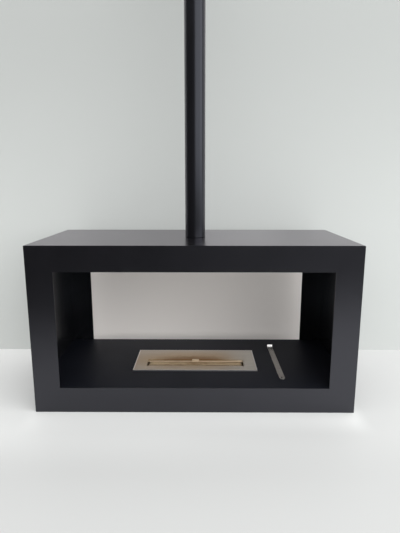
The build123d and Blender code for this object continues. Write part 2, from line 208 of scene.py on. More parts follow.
class FireplaceStage(PropertyGroup):
    """The plain studio round the fireplace."""

    floor: colour("Floor", "Colour of the floor", (0.74, 0.745, 0.735))
    wall: colour("Wall", "Colour of the wall behind", (0.55, 0.565, 0.55))
    # painted light: the wall seen through the firebox is painted this lighter colour
    lit_wall: colour("Lit wall", "Colour of the wall seen through the firebox", (0.95, 0.90, 0.86))
    wall_place: length("Wall place", "From the middle of the casing to the wall behind", 0.29)
    daylight: share("Daylight", "Strength of the light from all round", 1.0, 10.0)
    lamp: share("Lamp", "Power of the soft lamp at the front right, in watts", 130.0, 1000.0)
    lens: share("Lens", "Focal length of the camera, in millimetres", 29.24, 500.0)


# Node trees


class Term:
    """A node's output, on which the usual arithmetic adds Math nodes."""

    def __init__(self, shader, socket):
        self.shader = shader
        self.socket = socket

    def maths(self, operation, first, second):
        return self.shader.node("ShaderNodeMath", {0: first, 1: second}, operation=operation)

    def __add__(self, other):
        return self.maths("ADD", self, other)

    def __sub__(self, other):
        return self.maths("SUBTRACT", self, other)

    def __rsub__(self, other):
        return self.maths("SUBTRACT", other, self)

    def __mul__(self, other):
        return self.maths("MULTIPLY", self, other)

    __radd__ = __add__
    __rmul__ = __mul__


class Shader:
    """Builds the nodes of one material or world."""

    def __init__(self, tree):
        self.tree = tree
        tree.nodes.clear()

    def node(self, kind, sockets=None, output=0, **settings):
        """Adds a node: its settings first, then the values or links of its sockets."""
        node = self.tree.nodes.new(kind)
        for key, value in settings.items():
            if key == "stops":
                set_stops(node.color_ramp, value)
            else:
                setattr(node, key, value)
        for key, value in (sockets or {}).items():
            if isinstance(value, Term):
                self.tree.links.new(value.socket, node.inputs[key])
            else:
                node.inputs[key].default_value = value
        return Term(self, node.outputs[output]) if node.outputs else None

    def ray(self, kind):
        """1 for one kind of ray, and 0 for the others."""
        return self.node("ShaderNodeLightPath", output=f"Is {kind} Ray")

    def vector_maths(self, operation, *values, output="Vector"):
        """A sum on whole vectors."""
        return self.node("ShaderNodeVectorMath", dict(enumerate(values)), output, operation=operation)

    def stretched(self, vector, scale, location=(0.0, 0.0, 0.0)):
        """A point moved and then scaled along each axis."""
        return self.vector_maths("MULTIPLY", self.vector_maths("ADD", vector, location), scale)

    def part(self, vector, axis):
        """One coordinate of a point."""
        return self.node("ShaderNodeSeparateXYZ", {0: vector}, axis)

    def noise(self, vector, scale, detail=2.0, roughness=0.5, distortion=0.0):
        """Soft noise between about 0.2 and 0.8."""
        sockets = {"Vector": vector, "Scale": scale, "Detail": detail, "Roughness": roughness}
        return self.node("ShaderNodeTexNoise", sockets | {"Distortion": distortion})

    def specks(self, vector, scale):
        """Distance to the nearest of many scattered points."""
        return self.node("ShaderNodeTexVoronoi", {"Vector": vector, "Scale": scale}, feature="F1")

    def ease(self, value, low, high, start=0.0, end=1.0):
        """Goes smoothly from start to end as the value goes from low to high."""
        sockets = {"Value": value, 1: low, 2: high, 3: start, 4: end}
        return self.node("ShaderNodeMapRange", sockets, interpolation_type="SMOOTHSTEP")

    def sides(self, vector, low, high, start, end):
        """Goes from 0 to 1 between two depths below the sides of a box."""
        within = 1.0
        for axis in range(len(low)):
            off = self.part(vector, axis) - (low[axis] + high[axis]) / 2
            half = (high[axis] - low[axis]) / 2
            within = within * (1.0 - self.ease(off * off, (half - start) ** 2, (half - end) ** 2))
        return 1.0 - within

    def mix(self, factor, first, second):
        """Goes from the first colour to the second."""
        sockets = {0: factor, 6: as_colour(first), 7: as_colour(second)}
        return self.node("ShaderNodeMix", sockets, 2, data_type="RGBA")

    def bump(self, height, distance):
        """A normal that leans with the height."""
        return self.node("ShaderNodeBump", {"Height": height, "Distance": distance})

    def surface(self, sockets):
        """The material's surface."""
        surface = self.node("ShaderNodeBsdfPrincipled", sockets)
        self.node("ShaderNodeOutputMaterial", {"Surface": surface})

    def partly_clear_surface(self, paint, clear):
        """A surface of paint that lets a share of the rays through."""
        nothing = self.node("ShaderNodeBsdfTransparent")
        mixed = self.node("ShaderNodeMixShader", {0: clear, 1: paint, 2: nothing})
        self.node("ShaderNodeOutputMaterial", {"Surface": mixed})


def set_stops(ramp, stops):
    """Gives a colour ramp its stops."""
    while len(ramp.elements) < len(stops):
        ramp.elements.new(1.0)
    for element, (position, value) in zip(ramp.elements, stops):
        element.position = position
        element.color = as_colour(value)


def as_colour(value):
    """A colour with its alpha, or a link as it is."""
    return value if isinstance(value, Term) else (*value, 1.0)


def dimmed(value, factor):
    """A colour times a number."""
    return tuple(channel * factor for channel in value)


def new_shader(name):
    """The builder of a new material's nodes, and its point on the piece, in metres in the shared frame."""
    material = bpy.data.materials.new(name)
    material.use_nodes = True
    shader = Shader(material.node_tree)
    return shader, shader.node("ShaderNodeTexCoord", output="Object")


# Finishes


def powder_coat(name, base, roughness, gloss, polish, index=1.45, sheen=COAT_SHEEN, case=None):
    """Powder coat with fine orange peel and a little dust, without its gloss inside a case."""
    shader, place = new_shader(name)
    peel = shader.noise(place, 420.0, 2.0)
    clouds = shader.noise(place, 7.0, 4.0, 0.6)
    wipes = shader.noise(shader.stretched(place, (3.0, 3.0, 9.0)), 2.5, 1.0, 0.5, 0.4)
    dust = shader.ease(shader.specks(place, 260.0), 0.10, 0.04) * shader.ease(clouds, 0.50, 0.66)
    shade = shader.mix(shader.ease(clouds, 0.30, 0.70), dimmed(base, 0.85), dimmed(base, 1.15))
    if case:
        # the gloss ends within the thickness of the outer sheets
        gloss = gloss * shader.sides(place, *case, 0.0012, 0.0006)
    shader.surface({
        "Base Color": shader.mix(dust * 0.20, shade, dimmed(base, 6.0)),
        "Roughness": roughness + (clouds - 0.5) * 0.02 + (wipes - 0.5) * 0.03,
        "Normal": shader.bump(peel, 0.000003),
        "IOR": index,
        "Specular Tint": as_colour(sheen),
        "Coat Weight": gloss,
        "Coat Roughness": polish,
        "Coat Tint": as_colour(CLEAR_LAYER),
    })


def brushed(shader, place, along):
    """Fine grinding lines along one or two axes, as noise between 0 and 1."""
    scale = [LINES_ALONG if axis in along else LINES_ACROSS for axis in range(3)]
    lines = shader.noise(shader.stretched(place, scale), 1.0, 3.0, 0.65)
    return shader.ease(lines, 0.25, 0.75)


def brushed_steel(name, base, along, roughness, depth, metal=1.0, painted_above=ABOVE_ALL, painted_gain=1.0):
    """Brushed steel with cloudy handling marks, its colour scaled above a height: painted light where the
    gain is above 1, painted shade where it is below.
    """
    shader, place = new_shader(name)
    lines = brushed(shader, place, along)
    clouds = shader.noise(place, 22.0, 3.0, 0.6, 0.6)
    shade = shader.mix(lines, dimmed(base, 0.82), dimmed(base, 1.12))
    # painted light and shade: above this height the colour is scaled by the gain
    painted_zone = shader.ease(shader.part(place, 2), painted_above, painted_above + 0.003)
    shader.surface({
        "Base Color": shader.mix(painted_zone, shade, dimmed(base, painted_gain)),
        "Metallic": metal,
        "Roughness": roughness + (lines - 0.5) * 0.10 + (clouds - 0.5) * 0.10,
        "Normal": shader.bump(lines, depth),
    })


def heated_steel(name, finishes, hottest, low, high):
    """Brushed steel browned round its hottest place, with a painted highlight along its outer edges and
    painted light towards its right end.
    """
    shader, place = new_shader(name)
    lines = brushed(shader, place, [0])
    clouds = shader.noise(place, 26.0, 4.0, 0.6, 0.8)
    inverse = [1.0 / reach for reach in HEAT_REACH]
    spread = shader.stretched(place, inverse, [-axis for axis in hottest])
    away = shader.vector_maths("LENGTH", spread, output="Value") + (clouds - 0.5) * 0.4
    straw, brown = finishes.straw_tint, finishes.brown_tint
    stops = [(0.0, brown), (0.20, brown), (0.48, straw), (0.90, finishes.steel)]
    tint = shader.node("ShaderNodeValToRGB", {0: away * 0.8}, stops=stops)
    # painted light: lighter and less brown towards the plate's right end
    lit_end = shader.ease(shader.part(place, 0), high[0] - 0.13, high[0] - 0.01, 0.0, 0.9)
    tint = shader.mix(lit_end, tint, finishes.lit_end_steel)
    tint = shader.mix(0.16 * lines, tint, (0.0, 0.0, 0.0))
    # painted highlight: a light band along the plate's outer edges
    edges = shader.sides(place, low, high, 0.0035, 0.0015)
    edge_highlight = (0.97, 0.94, 0.92)
    shader.surface({
        "Base Color": shader.mix(edges, tint, edge_highlight),
        "Metallic": 1.0,
        "Roughness": 0.33 + (lines - 0.5) * 0.06 + (clouds - 0.5) * 0.08,
        "Normal": shader.bump(lines, 0.000012),
    })


def plated(name, base):
    """Zinc plate: bright, with a faint spangle."""
    shader, place = new_shader(name)
    spangle = shader.noise(place, 350.0, 2.0)
    shader.surface({
        "Base Color": shader.mix(spangle, dimmed(base, 0.8), dimmed(base, 1.15)),
        "Metallic": 1.0,
        "Roughness": 0.30 + spangle * 0.18,
        "Normal": shader.bump(spangle, 0.00003),
    })


def primed(name, base):
    """Matt grey primer with overspray grain."""
    shader, place = new_shader(name)
    grain = shader.noise(place, 700.0, 3.0)
    clouds = shader.noise(place, 9.0, 3.0)
    shader.surface({
        "Base Color": shader.mix(clouds, dimmed(base, 0.8), dimmed(base, 1.2)),
        "Roughness": 0.62 + (grain - 0.5) * 0.2,
        "Normal": shader.bump(grain, 0.00008),
    })


def fibrous(name, finishes, top, front):
    """Matted ceramic fibre, browned by the flame in the middle, with a painted shadow along the front."""
    shader, place = new_shader(name)
    mat = shader.noise(shader.stretched(place, (120.0, 420.0, 420.0)), 1.0, 5.0, 0.7, 1.2)
    tufts = shader.noise(place, 60.0, 4.0, 0.6, 0.5)
    streaks = shader.noise(shader.stretched(place, (18.0, 140.0, 60.0)), 1.0, 3.0, 0.6, 0.4)
    along = shader.part(place, 0)
    middle = shader.ease(along * along, 0.016, 0.004, 0.25, 1.0)
    singe = shader.ease(streaks + (tufts - 0.5) * 0.3, 0.40, 0.62) * middle
    high = shader.ease(shader.part(place, 2), top - 0.012, top - 0.002)
    browned = shader.mix(singe * high, finishes.wool, finishes.singed_wool)
    # painted shadow: darker towards the slot's front rim
    shaded_front = shader.ease(shader.part(place, 1), front + 0.032, front + 0.017, 0.0, 0.6)
    painted_shadow = (0.05, 0.03, 0.02)
    fibres = shader.ease(mat, 0.30, 0.55)
    shader.surface({
        "Base Color": shader.mix(fibres, dimmed(finishes.wool, 0.75), shader.mix(shaded_front, browned, painted_shadow)),
        "Roughness": 0.95,
        "Normal": shader.bump(mat + tufts, 0.0003),
    })


def table_top(name, stage):
    """Pale floor with painted light and shade, of which glossy surfaces don't mirror the far front."""
    shader, place = new_shader(name)
    pale = stage.floor
    across, depth = shader.part(place, 0), shader.part(place, 1)
    clouds = shader.noise(place, 3.0, 3.0)
    grain = shader.noise(place, 90.0, 3.0)
    mirrored = shader.ray("Glossy")
    side = shader.ease(across, -0.2, 0.5)
    back = shader.ease(depth, -0.50, -0.28)
    # painted light: a paler patch at the foot of the casing's front, over its shadow
    foot = shader.ease(depth, -0.33, -0.23) * shader.ease(depth, 0.0, -0.1)
    foot = foot * shader.ease(across * across, 0.26, 0.20)
    # painted light and shade: lighter on the left and darker on the right, and darker towards the front
    lit_side = shader.mix(side, dimmed(pale, 1.08), dimmed(pale, 0.94))
    seen = shader.mix(back, dimmed(pale, 0.86), shader.mix(foot, lit_side, dimmed(pale, 1.18)))
    # painted light in what glossy surfaces mirror: lighter towards the right
    in_gloss = shader.mix(side, dimmed(pale, 1.06), dimmed(pale, 1.20))
    shade = shader.mix(mirrored, seen, in_gloss)
    paint = shader.node("ShaderNodeBsdfPrincipled", {
        "Base Color": shader.mix(clouds * 0.03, shade, dimmed(pale, 0.5)),
        "Roughness": 0.45 + grain * 0.1,
        "Normal": shader.bump(grain, 0.00005),
    })
    far_front = shader.ease(depth + 0.35 * across, -0.5, -1.7)
    shader.partly_clear_surface(paint, far_front * mirrored)


def painted_wall(name, stage):
    """Pale wall with painted light and shade, lighter where the firebox frames it, that the camera sees
    through from behind.
    """
    shader, place = new_shader(name)
    clouds = shader.noise(place, 2.0, 3.0)
    across, height = shader.part(place, 0), shader.part(place, 2)
    mirrored = shader.ray("Glossy")
    # painted shade: darker higher up
    upper = shader.ease(height, 0.30, 1.30)
    plain = shader.mix(upper, dimmed(stage.wall, 1.06), dimmed(stage.wall, 0.80))
    # painted light in what glossy surfaces mirror: lighter just right of the middle
    right = shader.ease(across, -0.05, 0.08) * shader.ease(across, 0.42, 0.20)
    plain = shader.mix(mirrored, plain, shader.mix(right, stage.wall, dimmed(stage.wall, 1.22)))
    # painted light and shade near the floor: lighter on the left, darker on the right
    low_down = shader.ease(height, 0.35, 0.05)
    side = shader.ease(across, -0.35, 0.35)
    near_floor = shader.mix(side, dimmed(stage.lit_wall, 1.04), dimmed(stage.lit_wall, 0.84))
    lit = shader.mix(low_down, stage.lit_wall, near_floor)
    # painted shade in what glossy surfaces mirror: darker towards the right, low down
    dull = shader.ease(across, -0.10, 0.40, 0.0, 0.65) * shader.ease(height, 0.19, 0.12)
    lit = shader.mix(mirrored * dull, lit, (0.0, 0.0, 0.0))
    # painted light: the lit colour where the firebox frames the wall
    framed = shader.ease(across * across, 0.24, 0.18) * shader.ease(height, 0.46, 0.41)
    shade = shader.mix(framed, plain, lit)
    cloudy = shader.mix(clouds * 0.03, shade, dimmed(stage.wall, 0.5))
    paint = shader.node("ShaderNodeBsdfDiffuse", {"Color": cloudy})
    behind = shader.node("ShaderNodeNewGeometry", output="Backfacing")
    aside = shader.ease(across * across, 0.8, 1.6)
    shader.partly_clear_surface(paint, behind + aside * mirrored)


def light_room(scene, stage):
    """Even daylight, a wall-pale view for the camera and a dark front for the gloss."""
    world = bpy.data.worlds.new("room")
    scene.world = world
    world.use_nodes = True
    world.cycles.sampling_method = "NONE"  # light samples can't tell gloss from the rest
    shader = Shader(world.node_tree)
    way = shader.node("ShaderNodeTexCoord", output="Generated")
    high = shader.ease(shader.part(way, 2), 0.25, 0.8)
    window = shader.vector_maths("DOT_PRODUCT", way, WINDOW, output="Value")
    dim, bright = (stage.daylight * 0.5,) * 3, (stage.daylight * 1.55,) * 3
    even = shader.mix(shader.ease(window, -0.5, 0.9), dim, bright)
    across = shader.part(way, 0)
    dark_left, dark_right = (0.05, 0.05, 0.052), (0.13, 0.13, 0.135)
    far_right, overhead = (0.50, 0.52, 0.54), (0.45, 0.46, 0.47)
    low = shader.mix(shader.ease(across, -0.3, 0.5), dark_left, dark_right)
    low = shader.mix(shader.ease(across, 0.80, 0.95), low, far_right)
    mirrored = shader.mix(high, low, overhead)
    lit = shader.mix(shader.ray("Glossy"), even, mirrored)
    shown = shader.mix(shader.ray("Camera"), lit, dimmed(stage.wall, 0.82))
    background = shader.node("ShaderNodeBackground", {"Color": shown, "Strength": 1.0})
    shader.node("ShaderNodeOutputWorld", {"Surface": background})


# Meshes


def new_object(name, data):
    """An object with its data, in the scene."""
    thing = bpy.data.objects.new(name, data)
    bpy.context.scene.collection.objects.link(thing)
    return thing


def new_mesh(name, bm, finish):
    """A mesh with its finish."""
    mesh = bpy.data.meshes.new(name)
    bm.to_mesh(mesh)
    bm.free()
    mesh.materials.append(finish_of(finish))
    return mesh


def new_backdrop(name, matrix, finish):
    """A wide flat sheet that isn't part of the fireplace."""
    bm = bmesh.new()
    bmesh.ops.create_grid(bm, x_segments=1, y_segments=1, size=BACKDROP_REACH, matrix=matrix)
    return new_object(name, new_mesh(name, bm, finish))


def only(kind, items):
    """The items of one kind."""
    return [item for item in items if isinstance(item, kind)]


def new_block(bm, low, high):
    """Adds a block between two corners."""
    low, high = Vector(low), Vector(high)
    verts = bmesh.ops.create_cube(bm, size=1.0)["verts"]
    bmesh.ops.scale(bm, vec=high - low, verts=verts)
    bmesh.ops.translate(bm, vec=(low + high) / 2, verts=verts)


def flat_face(bm, low, high, corner=0.0, segments=4):
    """Adds a rectangle on z = 0 with rounded corners."""
    low, high = Vector((*low[:2], 0.0)), Vector((*high[:2], 0.0))
    before = set(bm.faces)
    verts = bmesh.ops.create_grid(bm, x_segments=1, y_segments=1, size=0.5)["verts"]
    bmesh.ops.scale(bm, vec=high - low, verts=verts)
    bmesh.ops.translate(bm, vec=(low + high) / 2, verts=verts)
    if corner:
        round_off(bm, verts, corner, segments, "VERTICES")
    return next(face for face in bm.faces if face not in before)


def pull_out(bm, faces, offset):
    """Extrudes faces along an offset, and returns the new vertices and faces."""
    edges = {edge for face in faces for edge in face.edges}
    verts = {vert for face in faces for vert in face.verts}
    made = bmesh.ops.extrude_face_region(bm, geom=[*faces, *edges, *verts])["geom"]
    verts = only(BMVert, made)
    bmesh.ops.translate(bm, vec=offset, verts=verts)
    return verts, only(BMFace, made)


def holed_sheet(bm, outer, inner, height):
    """Turns two flat faces, one inside the other, into a sheet with a hole."""
    edges = [*outer.edges, *inner.edges]
    bmesh.ops.delete(bm, geom=[outer, inner], context="FACES_ONLY")
    made = bmesh.ops.triangle_fill(bm, edges=edges, use_beauty=True, normal=(0.0, 0.0, 1.0))["geom"]
    pull_out(bm, only(BMFace, made), (0.0, 0.0, height))
    outward(bm)


def round_off(bm, geometry, radius, segments=3, affect="EDGES"):
    """Rounds edges or corners."""
    bmesh.ops.bevel(
        bm, geom=geometry, offset=radius, offset_type="OFFSET", segments=segments,
        profile=0.5, affect=affect, material=-1, clamp_overlap=True,
    )


def creases(bm, test):
    """Sharp edges whose two ends both pass a test on their place."""
    shared = [edge for edge in bm.edges if len(edge.link_faces) == 2]
    sharp = [edge for edge in shared if edge.calc_face_angle() >= CREASE_ANGLE]
    return [edge for edge in sharp if all(test(vert.co) for vert in edge.verts)]


def edges_along(axis, edges):
    """The edges whose ends lie apart along an axis."""
    return [edge for edge in edges if not near(edge.verts[0].co[axis], edge.verts[1].co[axis])]


def outside(place, low, high):
    """True where a place lies clear of a rectangle on the ground plane."""
    gap = 0.001
    return not (low.x - gap < place.x < high.x + gap and low.y - gap < place.y < high.y + gap)


def near(value, target):
    """True where two lengths are the same."""
    return abs(value - target) < SAME_PLACE


def turned(bm, matrix):
    """Moves the whole mesh by a matrix."""
    bmesh.ops.transform(bm, matrix=matrix, verts=bm.verts)


def outward(bm):
    """Turns every face outwards."""
    bmesh.ops.remove_doubles(bm, verts=bm.verts, dist=MERGED)
    bmesh.ops.recalc_face_normals(bm, faces=bm.faces)


def swung(bm, geometry, centre, axis, angle, steps, closed=False):
    """Swings geometry about an axis through a centre, and returns what lies at the end."""
    return bmesh.ops.spin(
        bm, geom=geometry, cent=centre, axis=axis, dvec=(0.0, 0.0, 0.0), angle=angle,
        steps=steps, use_merge=closed, use_duplicate=False,
    )["geom_last"]


def turned_solid(bm, points):
    """Makes a solid of a closed outline of (radius, height) points about the Z axis."""
    verts = [bm.verts.new((radius, 0.0, height)) for radius, height in points]
    edges = [bm.edges.new(pair) for pair in zip(verts, verts[1:] + verts[:1])]
    swung(bm, verts + edges, (0.0, 0.0, 0.0), (0.0, 0.0, 1.0), 2 * pi, POLE_STEPS, closed=True)
    outward(bm)


def island_boxes(bm):
    """The lowest and highest corners of each separate solid of a mesh."""
    left = set(bm.verts)
    while left:
        island = [left.pop()]
        for vert in island:
            for edge in vert.link_edges:
                other = edge.other_vert(vert)
                if other in left:
                    left.remove(other)
                    island.append(other)
        low = Vector(map(min, zip(*(vert.co for vert in island))))
        high = Vector(map(max, zip(*(vert.co for vert in island))))
        yield low, high


def add_weld(bm, low, high, middle, ripple):
    """Adds a rippled quarter-round bead in a box, in the corner away from the middle."""
    size = high - low
    along = max(range(3), key=lambda axis: size[axis])
    ends = enumerate(zip(low, high))
    corner = Vector(max(pair, key=lambda side: abs(side - middle[axis])) for axis, pair in ends)
    corner[along] = low[along]
    run = Vector(axis == along for axis in range(3)) * size[along]
    radius = size[(along + 1) % 3]
    steps = round(size[along] / ripple) * RIPPLE_RINGS
    turn = Vector((0.0, 0.0, 1.0)).rotation_difference(run).to_matrix().to_4x4()
    circle = bmesh.ops.create_circle(bm, cap_ends=True, segments=SMALL_STEPS, radius=radius)["verts"]
    end = circle[0].link_faces[:1]
    bmesh.ops.transform(bm, matrix=Matrix.Translation(corner) @ turn, verts=circle)
    rings = [circle]
    for _ in range(steps):
        ring, end = pull_out(bm, end, run / steps)
        rings.append(ring)
    for step, ring in enumerate(rings):
        outer = abs(2 * step / steps - 1)
        swell = 0.93 + 0.07 * cos(2 * pi * step / RIPPLE_RINGS)
        shrink = swell * max(1 - outer**4, 0.05) ** 0.5
        centre = corner + run * (step / steps)
        for vert in ring:
            vert.co = centre + (vert.co - centre) * shrink
    bead = {vert for ring in rings for vert in ring}
    for axis in {0, 1, 2} - {along}:
        away = 1.0 if corner[axis] > middle[axis] else -1.0
        cut_off(bm, bead, corner, Vector(other == axis for other in range(3)) * away)


def cut_off(bm, bead, place, normal):
    """Cuts a solid, given by its vertices, at a plane, and closes the cut."""
    verts = [vert for vert in bead if vert.is_valid]
    edges = {edge for vert in verts for edge in vert.link_edges}
    faces = {face for vert in verts for face in vert.link_faces}
    cut = bmesh.ops.bisect_plane(
        bm, geom=[*verts, *edges, *faces], dist=CUT_THROUGH, plane_co=place, plane_no=normal,
        clear_outer=True,
    )["geom_cut"]
    bead.update(only(BMVert, cut))
    bmesh.ops.holes_fill(bm, edges=only(BMEdge, cut), sides=0)


def finished(bm, name, body, finish, nodes, weighted=True):
    """Makes a piece of a mesh, gives it its finish and sets it in the frame."""
    mesh = new_mesh(name, bm, finish)
    mesh.shade_smooth()
    mesh.set_sharp_from_angle(angle=SHARP_ANGLE)
    piece = new_object(name, mesh)
    if weighted:
        piece.modifiers.new("flat faces", "WEIGHTED_NORMAL").keep_sharp = True
    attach(piece, body)
    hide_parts(*nodes)
    return piece


def dress(finish, *nodes):
    """Gives CAD nodes that stay their finish."""
    for node in nodes:
        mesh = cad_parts[node].data
        mesh.materials.clear()
        mesh.materials.append(finish_of(finish))


def end_face(bm, depth):
    """The face that lies wholly at one depth."""
    return next(face for face in bm.faces if all(near(vert.co.y, depth) for vert in face.verts))


def finish_of(name):
    """A material that has been made before."""
    material = bpy.data.materials.get(name)
    if material is None:
        raise RuntimeError(f"the finish {name} is missing: make the finishes first")
    return material


# Operators


class MakeFinishes(Operator):
    """Makes the materials of all the pieces."""

    bl_idname = "fireplace.make_finishes"
    bl_label = "Finishes"

    def execute(self, context):
        finishes = context.scene.fireplace_finishes
        burner = context.scene.fireplace_burner
        low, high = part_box("burner_top_plate")
        case = (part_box("front_frame")[0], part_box("rear_frame")[1])
        satin, dull = finishes.coat_roughness, finishes.hearth_roughness
        powder_coat("satin_casing_coat", finishes.casing_coat, satin, gloss=0.5, polish=0.27, case=case)
        powder_coat("satin_pole_coat", finishes.pole_coat, satin, gloss=0.36, polish=0.30)
        powder_coat("satin_cup_coat", finishes.pole_coat, finishes.cup_roughness, gloss=0.36, polish=0.45)
        hearth = {"index": 1.29, "sheen": HEARTH_SHEEN}
        powder_coat("matt_hearth_coat", finishes.hearth_coat, dull, gloss=0.0, polish=0.1, **hearth)
        primed("grey_primer", finishes.primer)
        plated("zinc_plate", finishes.zinc)
        plated("blackened_screw", dimmed(finishes.zinc, 0.3))
        slot_rear = high.y - burner.slot_rear_margin
        hottest = (HOTTEST[0], slot_rear + HOTTEST[1], high.z)
        heated_steel("heated_burner_steel", finishes, hottest, low.xy, high.xy)
        inox = {"along": [0], "roughness": 0.36, "depth": 0.000012, "metal": 0.4}
        # painted shade: the damper's parts above this height, with its tab, are painted a fifth darker
        tab_foot = low.z - 0.001
        brushed_steel("brushed_stainless", finishes.inox, **inox)
        brushed_steel("brushed_damper_steel", finishes.inox, **inox, painted_above=tab_foot, painted_gain=0.80)
        bar = {"along": [1, 2], "roughness": 0.26, "depth": 0.00006}
        # painted highlight: the tool's bent end, above this height, is painted almost twice as light
        bent_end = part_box("damper_tool")[0].z + 0.005
        brushed_steel("brushed_tool_steel", finishes.tool_steel, **bar, painted_above=bent_end, painted_gain=1.95)
        slot_front = low.y + burner.slot_front_margin
        fibrous("ceramic_fibre", finishes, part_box("ceramic_wool")[1].z, slot_front)
        return {"FINISHED"}


class MakeFrames(Operator):
    """Makes the two sheet rings round the front and rear openings."""

    bl_idname = "fireplace.make_frames"
    bl_label = "Front and rear frames"

    def execute(self, context):
        sizes = context.scene.fireplace_casing
        low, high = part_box("front_frame")
        for node, angle in (("front_frame", 0.0), ("rear_frame", pi)):
            bm = bmesh.new()
            outline = flat_face(bm, (low.x, low.z), (high.x, high.z), sizes.edge_radius, 3)
            opening_low = (low.x + sizes.side_band, low.z + sizes.bottom_band)
            opening_high = (high.x - sizes.side_band, high.z - sizes.top_band)
            opening = flat_face(bm, opening_low, opening_high)
            holed_sheet(bm, outline, opening, -sizes.sheet)
            rim = creases(bm, lambda place: near(place.z, 0.0))
            round_off(bm, rim, sizes.face_radius)
            upright = Matrix.Translation((0.0, low.y, 0.0)) @ Matrix.Rotation(pi / 2, 4, "X")
            turned(bm, Matrix.Rotation(angle, 4, "Z") @ upright)
            outward(bm)
            finished(bm, node + "_ring", "casing", "satin_casing_coat", [node])
        return {"FINISHED"}


class MakeFireboxFloor(Operator):
    """Makes the firebox floor, cut out for the burner's tank."""

    bl_idname = "fireplace.make_firebox_floor"
    bl_label = "Firebox floor"

    def execute(self, context):
        burner = context.scene.fireplace_burner
        low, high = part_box("firebox_floor_panel")
        tank_low, tank_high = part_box("fuel_tank")
        gap = Vector((burner.tank_clearance, burner.tank_clearance, 0.0))
        bm = bmesh.new()
        outline = flat_face(bm, low, high)
        corner = burner.tank_corner + burner.tank_clearance
        cutout = flat_face(bm, tank_low - gap, tank_high + gap, corner, 8)
        holed_sheet(bm, outline, cutout, low.z - high.z)
        turned(bm, Matrix.Translation((0.0, 0.0, high.z)))
        coat = "matt_hearth_coat"
        finished(bm, "firebox_floor_sheet", "casing", coat, ["firebox_floor_panel"])
        return {"FINISHED"}


class DressKeptSteel(Operator):
    """Gives the CAD's own outer sheets, stiffeners and fasteners their finishes."""

    bl_idname = "fireplace.dress_kept_steel"
    bl_label = "Outer sheets, stiffeners and fasteners"

    def execute(self, context):
        coat = "satin_casing_coat"
        dress(coat, "outer_top_panel", "outer_bottom_panel", "outer_left_panel", "outer_right_panel")
        dress(coat, "roof_plate", "roof_ribs")
        dress("grey_primer", "floor_bearers", "pole_end_plug", "ceiling_plate", "ceiling_spigot")
        dress("zinc_plate", "pole_washers", "pole_bolts", "pole_cross_bolt", "pole_cross_nut")
        dress("blackened_screw", "cover_set_screw")
        dress("brushed_stainless", "damper_guides", "wool_basket")
        return {"FINISHED"}


class MakeWelds(Operator):
    """Makes the short rippled welds that hold the casing's sheets together inside."""

    bl_idname = "fireplace.make_welds"
    bl_label = "Casing welds"

    def execute(self, context):
        sizes = context.scene.fireplace_casing
        middle = Vector((0.0, 0.0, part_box("front_frame")[1].z / 2))
        solids = bmesh.new()
        solids.from_mesh(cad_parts["casing_welds"].data)
        bmesh.ops.remove_doubles(solids, verts=solids.verts, dist=SAME_PLACE)
        bm = bmesh.new()
        for low, high in island_boxes(solids):
            add_weld(bm, low, high, middle, sizes.weld_ripple)
        solids.free()
        outward(bm)
        coat = "satin_casing_coat"
        finished(bm, "casing_weld_beads", "casing", coat, ["casing_welds"], False)
        return {"FINISHED"}


class MakePole(Operator):
    """Makes the round pole."""

    bl_idname = "fireplace.make_pole"
    bl_label = "Pole"

    def execute(self, context):
        sizes = context.scene.fireplace_casing
        low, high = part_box("pole_tube")
        inner = high.x - sizes.pole_wall
        bm = bmesh.new()
        turned_solid(bm, [(high.x, low.z), (high.x, high.z), (inner, high.z), (inner, low.z)])
        foot = creases(bm, lambda place: near(place.z, low.z) and place.xy.length > inner + sizes.pole_edge)
        round_off(bm, foot, sizes.pole_foot)
        round_off(bm, creases(bm, lambda place: near(place.z, high.z)), sizes.pole_edge, 2)
        finished(bm, "pole_coated_tube", "casing", "satin_pole_coat", ["pole_tube"])
        return {"FINISHED"}


class MakeCeilingCover(Operator):
    """Makes the cover cup below the ceiling, with its collar."""

    bl_idname = "fireplace.make_ceiling_cover"
    bl_label = "Ceiling cover"

    def execute(self, context):
        sizes = context.scene.fireplace_casing
        low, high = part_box("ceiling_cover")
        outer, inner = high.x, high.x - sizes.cup_sheet
        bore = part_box("pole_tube")[1].x + sizes.collar_clearance
        collar = bore + sizes.collar_wall
        cup_low = low.z + sizes.cup_collar
        cup_floor = cup_low + sizes.cup_sheet
        outline = [(bore, low.z), (collar, low.z), (collar, cup_low), (outer, cup_low)]
        outline += [(outer, high.z), (inner, high.z), (inner, cup_floor), (bore, cup_floor)]
        bm = bmesh.new()
        turned_solid(bm, outline)
        lower = creases(bm, lambda place: near(place.z, cup_low) and place.xy.length > inner)
        round_off(bm, lower, sizes.cup_bend, 4)
        rim = creases(bm, lambda place: near(place.z, low.z) or near(place.z, high.z))
        round_off(bm, rim, sizes.pole_edge, 2)
        finished(bm, "ceiling_cover_cup", "casing", "satin_cup_coat", ["ceiling_cover"])
        return {"FINISHED"}


class MakeBurnerPlate(Operator):
    """Makes the burner's top plate with its flame slot."""

    bl_idname = "fireplace.make_burner_plate"
    bl_label = "Burner plate"

    def execute(self, context):
        sizes = context.scene.fireplace_burner
        low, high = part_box("burner_top_plate")
        bm = bmesh.new()
        outline = flat_face(bm, low, high, sizes.plate_corner)
        slot_low = low + Vector((sizes.slot_end_margin, sizes.slot_front_margin, 0.0))
        slot_high = high - Vector((sizes.slot_end_margin, sizes.slot_rear_margin, 0.0))
        slot = flat_face(bm, slot_low, slot_high, sizes.slot_corner)
        holed_sheet(bm, outline, slot, low.z - high.z)
        rim = creases(bm, lambda place: near(place.z, 0.0) and outside(place, slot_low, slot_high))
        round_off(bm, rim, sizes.plate_edge, 5)
        turned(bm, Matrix.Translation((0.0, 0.0, high.z)))
        steel = "heated_burner_steel"
        finished(bm, "burner_slotted_plate", "burner", steel, ["burner_top_plate"])
        return {"FINISHED"}


